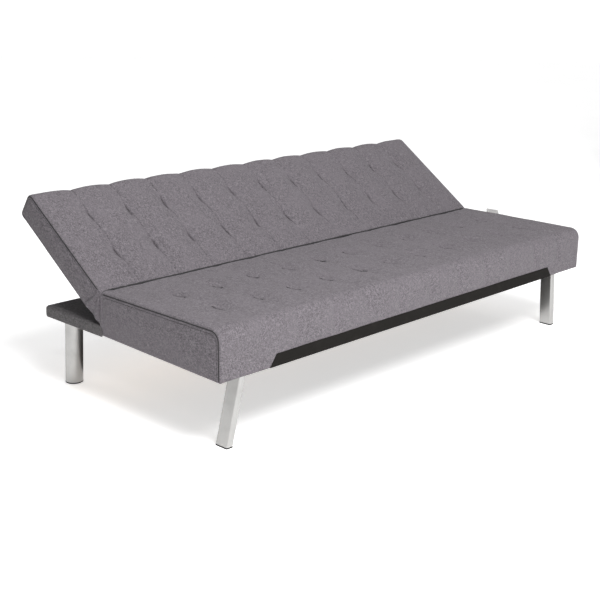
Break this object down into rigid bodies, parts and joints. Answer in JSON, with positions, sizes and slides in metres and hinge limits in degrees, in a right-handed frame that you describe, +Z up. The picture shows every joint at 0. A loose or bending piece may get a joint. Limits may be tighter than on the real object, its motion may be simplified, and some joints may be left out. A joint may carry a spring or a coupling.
{
  "type": "futon sofa bed",
  "caption": "Armless click-clack sofa bed: channel-tufted seat and reclining back on a timber base with metal legs; the back folds flat into a bed.",
  "frame": {"origin": "centre of the footprint of the sofa with its back at the lounging angle, on the floor", "axes": "+X along the sofa, to the right seen from the front; +Y from the front of the seat to the rear; +Z up"},
  "size_m": [1.78, 0.9136, 0.6011],
  "materials": {
    "upholstery": "matte",
    "ledge_fabric": "matte",
    "dust_cloth": "matte",
    "foam": "matte",
    "frame_timber": "matte",
    "ledge_board": "matte",
    "front_strip": "matte",
    "foot_plastic": "matte",
    "leg_chrome": "polished",
    "hinge_steel": "satin",
    "zinc_steel": "satin",
    "spring_steel": "satin",
    "label_tape": "matte"
  },
  "bodies": {
    "base": {"base_centre_rail": "frame_timber", "base_cross_rail": "frame_timber", "base_front_rail": "frame_timber", "base_left_rail": "frame_timber", "base_rear_rail": "frame_timber", "base_right_rail": "frame_timber", "care_label": "label_tape", "dust_cover": "dust_cloth", "end_gusset_left": "upholstery", "end_gusset_right": "upholstery", "front_foot_left": "foot_plastic", "front_foot_right": "foot_plastic", "front_leg_left": "leg_chrome", "front_leg_plate_left": "zinc_steel", "front_leg_plate_right": "zinc_steel", "front_leg_right": "leg_chrome", "front_strip": "front_strip", "hinge_pivot_left": "zinc_steel", "hinge_pivot_right": "zinc_steel", "hinge_seat_plate_left": "hinge_steel", "hinge_seat_plate_right": "hinge_steel", "ledge_cover": "ledge_fabric", "ledge_panel": "ledge_board", "leg_block_left": "frame_timber", "leg_block_right": "frame_timber", "pawl_pin_left": "zinc_steel", "pawl_pin_right": "zinc_steel", "pawl_spring_left": "spring_steel", "pawl_spring_right": "spring_steel", "rear_foot_left": "foot_plastic", "rear_foot_right": "foot_plastic", "rear_leg_left": "leg_chrome", "rear_leg_right": "leg_chrome", "rear_leg_stud_left": "zinc_steel", "rear_leg_stud_right": "zinc_steel", "seat_cover": "upholstery", "seat_foam": "foam", "seat_slat_1": "frame_timber", "seat_slat_2": "frame_timber", "seat_slat_3": "frame_timber", "seat_slat_4": "frame_timber", "seat_slat_5": "frame_timber"},
    "back": {"back_bottom_rail": "frame_timber", "back_centre_rail": "frame_timber", "back_cover": "upholstery", "back_foam": "foam", "back_left_rail": "frame_timber", "back_right_rail": "frame_timber", "back_slat_1": "frame_timber", "back_slat_2": "frame_timber", "back_slat_3": "frame_timber", "back_top_rail": "frame_timber", "hinge_back_arm_left": "hinge_steel", "hinge_back_arm_right": "hinge_steel"},
    "pawl_left": {"hinge_pawl_left": "hinge_steel"},
    "pawl_right": {"hinge_pawl_right": "hinge_steel"}
  },
  "joints": [
    {"name": "back_recline", "type": "hinge", "parent": "base", "child": "back", "pos_m": [0, 0.06024, 0.338], "axis": [1, 0, 0], "range_deg": [-35, 50], "deforming": ["end_gusset_left", "end_gusset_right"]},
    {"name": "pawl_lift_left", "type": "hinge", "parent": "base", "child": "pawl_left", "pos_m": [-0.868, 0.03524, 0.306], "axis": [-1, 0, 0], "range_deg": [0, 14], "stiffness_Nm_per_rad": 0.2, "springref_deg": -20.05, "deforming": ["pawl_spring_left"]},
    {"name": "pawl_lift_right", "type": "hinge", "parent": "base", "child": "pawl_right", "pos_m": [0.868, 0.03524, 0.306], "axis": [-1, 0, 0], "range_deg": [0, 14], "stiffness_Nm_per_rad": 0.2, "springref_deg": -20.05, "deforming": ["pawl_spring_right"]}
  ]
}
